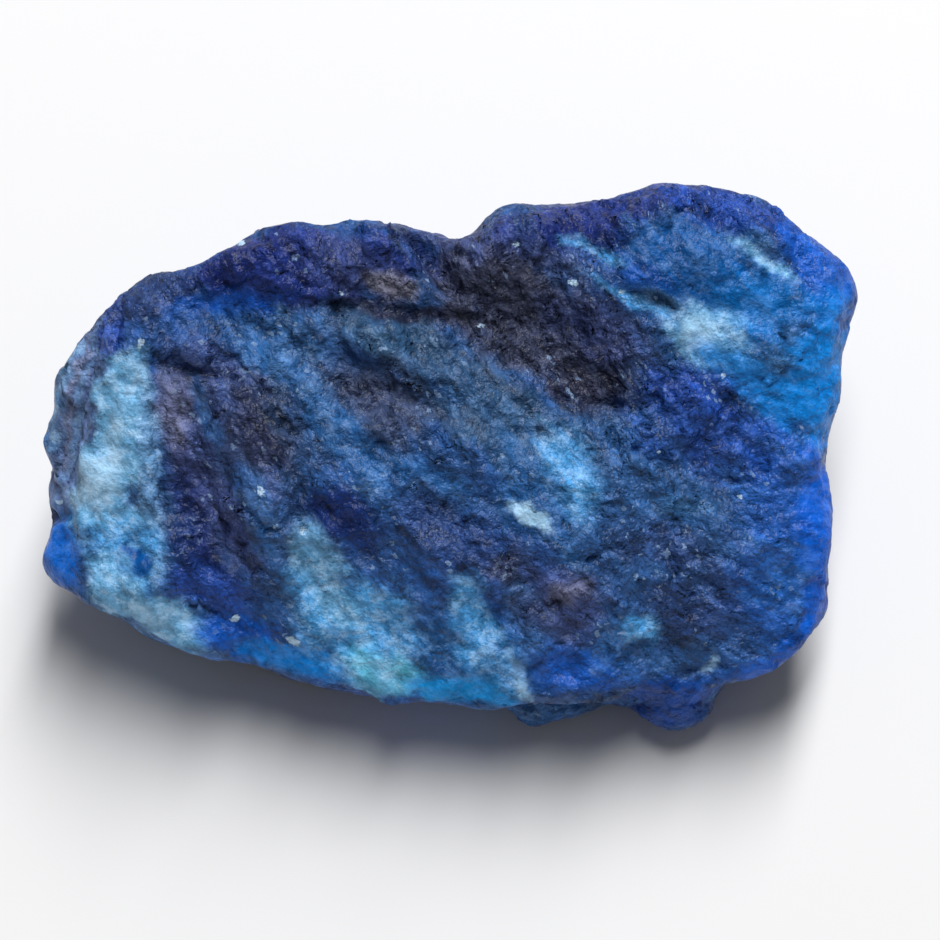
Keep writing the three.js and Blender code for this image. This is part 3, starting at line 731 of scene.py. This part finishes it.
def fracturedGrains():
    tree, given, result = newGroup(
        "fractured grains",
        {"Place": "NodeSocketVector", "Density": "NodeSocketFloat", "Warp": "NodeSocketFloat"},
        {"Tilt": "NodeSocketFloat", "Shade": "NodeSocketFloat", "Edge": "NodeSocketFloat"},
    )
    place, density, warp = (given.outputs[label] for label in ("Place", "Density", "Warp"))
    middle = (0.5, 0.5, 0.5)
    drift = addNode(
        tree, "ShaderNodeTexNoise", {"Vector": place, "Scale": density, "Detail": 1.0}
    )
    centred = vectorMath(tree, "SUBTRACT", drift.outputs["Color"], middle)
    warped = vectorMath(tree, "ADD", place, vectorMath(tree, "SCALE", centred, warp))
    cells, borders = (
        addNode(
            tree, "ShaderNodeTexVoronoi", {"Vector": warped, "Scale": density}, feature=feature
        )
        for feature in ("F1", "DISTANCE_TO_EDGE")
    )
    # each grain is a plane through its own middle, tilted in a direction that its colour gives
    away = vectorMath(tree, "SUBTRACT", warped, cells.outputs["Position"])
    facing = vectorMath(tree, "SUBTRACT", cells.outputs["Color"], middle)
    shade = addNode(tree, "ShaderNodeSeparateColor", {"Color": cells.outputs["Color"]})
    tree.links.new(vectorMath(tree, "DOT_PRODUCT", away, facing), result.inputs["Tilt"])
    tree.links.new(shade.outputs["Green"], result.inputs["Shade"])
    tree.links.new(borders.outputs["Distance"], result.inputs["Edge"])
    return tree


def readPaint(tree):
    sockets = {
        "tint": "Color", "flow": "Vector", "grain": "Fac", "milk": "Fac", "front": "Fac",
        "fleck": "Fac",
    }
    return {
        name: addNode(tree, "ShaderNodeAttribute", attribute_name=name).outputs[socket]
        for name, socket in sockets.items()
    }


def makePlaces(tree, flow):
    # level has the broad face flat in it, and the others follow the grain
    coordinates = addNode(tree, "ShaderNodeTexCoord")
    place = addNode(
        tree, "ShaderNodeMapping",
        {"Vector": coordinates.outputs["Object"], "Scale": (1 / mm, 1 / mm, 1 / mm)},
    )
    level = addNode(
        tree, "ShaderNodeVectorRotate",
        {"Vector": place.outputs["Vector"], "Rotation": (-faceLean, 0, 0)},
        rotation_type="EULER_XYZ",
    )
    return {
        "level": level.outputs["Vector"],
        "grained": vectorMath(tree, "MULTIPLY", flow, finish["grained"]),
        "streaked": vectorMath(tree, "MULTIPLY", flow, finish["streaked"]),
    }


def makeGrains(tree, place):
    group = fracturedGrains()
    return {
        name: addNode(
            tree, "ShaderNodeGroup", {"Place": place, "Density": density, "Warp": warp},
            node_tree=group,
        )
        for name, (density, warp) in grainSizes.items()
    }


def makePatterns(tree, places):
    return {
        name: addNode(
            tree, "ShaderNodeTexNoise",
            {"Vector": places[place], "Scale": scale, "Detail": detail, "Roughness": roughness},
        ).outputs["Fac"]
        for name, (place, scale, detail, roughness) in patterns.items()
    }


def stoneColour(tree, paint, grains, clouds):
    whole = (0.0, 1.0)
    grain = paint["grain"]
    # lighter and darker grains, stronger where the stone is grainy
    swing = numberMath(
        tree, "ADD", grains["small"].outputs["Shade"], grains["large"].outputs["Shade"]
    )
    swing = spread(tree, swing, (0.0, 2.0), (-finish["shadeSwing"], finish["shadeSwing"]))
    for name, reach in finish["swings"].items():
        cloudy = spread(tree, clouds[name], finish["patternRange"], (-reach, reach))
        swing = numberMath(tree, "ADD", swing, cloudy)
    strength = spread(tree, grain, whole, finish["swingShare"])
    change = numberMath(tree, "MULTIPLY_ADD", swing, strength, 1.0)
    colour = vectorMath(tree, "SCALE", paint["tint"], change)
    # painted shade: black gaps between the grains of the dark parts, where shade falls between them
    gap = spread(tree, grains["small"].outputs["Edge"], (0.0, finish["gapWidth"]), (1.0, 0.0))
    place = spread(tree, clouds["mottle"], finish["gapPlaces"], (finish["gapShare"], 0.0))
    share = numberMath(tree, "MULTIPLY", numberMath(tree, "MULTIPLY", gap, place), grain)
    colour = blend(tree, share, colour, finish["gapShadeColour"])
    # white clouds in the milky parts
    cloud = spread(tree, clouds["wisps"], finish["cloudPlaces"], (0.0, finish["cloudShare"]))
    share = numberMath(tree, "MULTIPLY", cloud, paint["milk"])
    colour = blend(tree, share, colour, finish["cloudColour"])
    # small glints, in clusters where the stone is grainy
    picked = spread(
        tree, grains["glint"].outputs["Shade"], finish["glintPicked"], (0.0, finish["glintShare"])
    )
    cluster = spread(tree, clouds["cluster"], finish["glintClusters"], whole)
    share = numberMath(tree, "MULTIPLY", picked, cluster)
    share = numberMath(tree, "MULTIPLY", share, spread(tree, grain, finish["glintGrain"], whole))
    colour = blend(tree, share, colour, finish["glintColour"])
    # pale flecks with worn edges
    worn = numberMath(tree, "MULTIPLY_ADD", clouds["dust"], finish["fleckWear"], paint["fleck"])
    fleck = spread(tree, worn, finish["fleckEdge"], (finish["fleckShare"], 0.0))
    share = numberMath(tree, "MULTIPLY", fleck, paint["front"])
    return blend(tree, share, colour, finish["fleckColour"])


def stoneNormal(tree, paint, grains, clouds):
    tilted = spread(tree, paint["grain"], finish["tiltGrain"], (0.0, finish["tiltShare"]))
    mottled = spread(tree, paint["grain"], (0.0, 1.0), finish["mottleShare"])
    heights = {
        "large": numberMath(tree, "MULTIPLY", grains["large"].outputs["Tilt"], tilted),
        "small": numberMath(tree, "MULTIPLY", grains["small"].outputs["Tilt"], tilted),
        "mottle": numberMath(tree, "MULTIPLY", clouds["mottle"], mottled),
        "dust": clouds["dust"],
    }
    # each layer of relief is laid over the one before
    below = {}
    for name, height in heights.items():
        depth = finish["relief"][name] * mm
        bump = addNode(
            tree, "ShaderNodeBump", {"Height": height, "Strength": 1.0, "Distance": depth, **below}
        )
        below = {"Normal": bump.outputs["Normal"]}
    return below["Normal"]


def makeHauyne():
    material = bpy.data.materials.new("hauyne")
    material.use_nodes = True
    tree = material.node_tree
    paint = readPaint(tree)
    places = makePlaces(tree, paint["flow"])
    grains = makeGrains(tree, places["grained"])
    clouds = makePatterns(tree, places)
    colour = stoneColour(tree, paint, grains, clouds)
    gloss = spread(tree, clouds["mottle"], finish["patternRange"], finish["roughness"])
    normal = stoneNormal(tree, paint, grains, clouds)
    surface = tree.nodes["Principled BSDF"]
    surface.inputs["Specular IOR Level"].default_value = finish["specular"]
    tree.links.new(colour, surface.inputs["Base Color"])
    tree.links.new(gloss, surface.inputs["Roughness"])
    tree.links.new(normal, surface.inputs["Normal"])
    print("material made")
    return material


def writePaint(mesh, tint, flow, shares):
    colours = mesh.color_attributes.new("tint", "FLOAT_COLOR", "POINT")
    colours.data.foreach_set("color", np.hstack([tint, np.ones((len(tint), 1))]).ravel())
    directions = mesh.attributes.new("flow", "FLOAT_VECTOR", "POINT")
    directions.data.foreach_set("vector", flow.ravel())
    for name, values in shares.items():
        mesh.attributes.new(name, "FLOAT", "POINT").data.foreach_set("value", values)


def makeStone():
    stone = finerCopy()
    points, normals = readMesh(stone.data)
    tint, grain, milk = paintStone(points, normals)
    front = frontShare(normals)
    points = settleInBox(roughen(points, normals, grain))
    stone.data.vertices.foreach_set("co", (points * mm).ravel())
    stone.data.update()
    shares = {"grain": grain, "milk": milk, "front": front, "fleck": fleckField(points)}
    writePaint(stone.data, tint, grainFrame(points), shares)
    stone.data.shade_smooth()
    stone.data.materials.append(makeHauyne())
    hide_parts(skin["node"])
    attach(stone, skin["body"])
    return stone


makeCamera()
makeFloor()
makeLight()
print("studio made")
makeStone()
